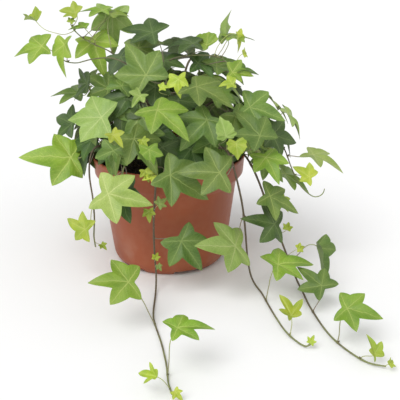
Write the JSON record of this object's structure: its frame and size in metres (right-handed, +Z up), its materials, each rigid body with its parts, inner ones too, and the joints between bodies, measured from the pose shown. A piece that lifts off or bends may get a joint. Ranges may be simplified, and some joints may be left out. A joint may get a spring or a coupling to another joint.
{
  "type": "potted ivy",
  "caption": "Trailing English ivy in a round plastic nursery pot with soil; stems arch over the rim and trail onto the surface in front.",
  "frame": {"origin": "centre of the pot's underside, on the surface that the pot stands on", "axes": "+Z up along the pot's axis, -Y towards the side where the stems trail onto the surface, +X to the right of someone facing that side"},
  "size_m": [0.2784, 0.3419, 0.2169],
  "materials": {
    "leaf_bright": "waxy leaf with pale veins",
    "leaf_dark": "waxy leaf with pale veins",
    "leaf_mature": "waxy leaf with pale veins",
    "leaf_pale": "waxy leaf with pale veins",
    "leaf_young": "soft new leaf",
    "pot": "smooth moulded, satin",
    "soil": "loose dark potting soil",
    "stem": "thin woody stem"
  },
  "bodies": {
    "root": {"back_shoot_1": "leaf_mature", "back_shoot_2": "leaf_mature", "back_shoot_3": "leaf_mature", "back_shoot_4": "leaf_mature", "far_right_vine": "stem", "far_right_vine_leaf_1": "leaf_bright", "far_right_vine_leaf_2": "leaf_mature", "far_right_vine_leaf_3": "leaf_dark", "far_right_vine_leaf_4": "leaf_mature", "far_right_vine_leaf_5": "leaf_mature", "far_right_vine_leaf_6": "leaf_bright", "front_left_stem": "stem", "front_left_stem_leaf_1": "leaf_mature", "front_left_stem_leaf_2": "leaf_mature", "front_left_stem_leaf_3": "leaf_pale", "front_left_stem_leaf_4": "leaf_dark", "front_vine": "stem", "front_vine_leaf_1": "leaf_mature", "front_vine_leaf_2": "leaf_mature", "front_vine_leaf_3": "leaf_bright", "front_vine_leaf_4": "leaf_bright", "left_crown": "stem", "left_crown_leaf_1": "leaf_pale", "left_crown_leaf_2": "leaf_dark", "left_crown_leaf_3": "leaf_mature", "left_vine": "stem", "left_vine_leaf_1": "leaf_bright", "left_vine_leaf_2": "leaf_young", "middle_crown": "stem", "middle_crown_leaf_1": "leaf_bright", "middle_crown_leaf_2": "leaf_mature", "middle_crown_leaf_3": "leaf_mature", "middle_crown_leaf_4": "leaf_mature", "middle_crown_leaf_5": "leaf_dark", "pot": "pot", "right_crown": "stem", "right_crown_leaf_1": "leaf_mature", "right_crown_leaf_2": "leaf_dark", "right_shoot": "stem", "right_shoot_leaf_1": "leaf_pale", "right_shoot_leaf_2": "leaf_mature", "right_shoot_leaf_3": "leaf_pale", "right_vine": "stem", "right_vine_leaf_1": "leaf_mature", "right_vine_leaf_2": "leaf_pale", "right_vine_leaf_3": "leaf_mature", "right_vine_leaf_4": "leaf_bright", "soil": "soil", "top_left_shoot": "stem", "top_left_shoot_leaf_1": "leaf_pale", "top_left_shoot_leaf_2": "leaf_bright", "top_left_shoot_leaf_3": "leaf_bright", "top_right_shoot": "stem", "top_right_shoot_leaf_1": "leaf_bright", "top_right_shoot_leaf_2": "leaf_dark", "top_right_shoot_leaf_3": "leaf_pale", "upper_left_shoot": "stem", "upper_left_shoot_leaf_1": "leaf_bright", "upper_left_shoot_leaf_2": "leaf_bright"}
  },
  "joints": []
}
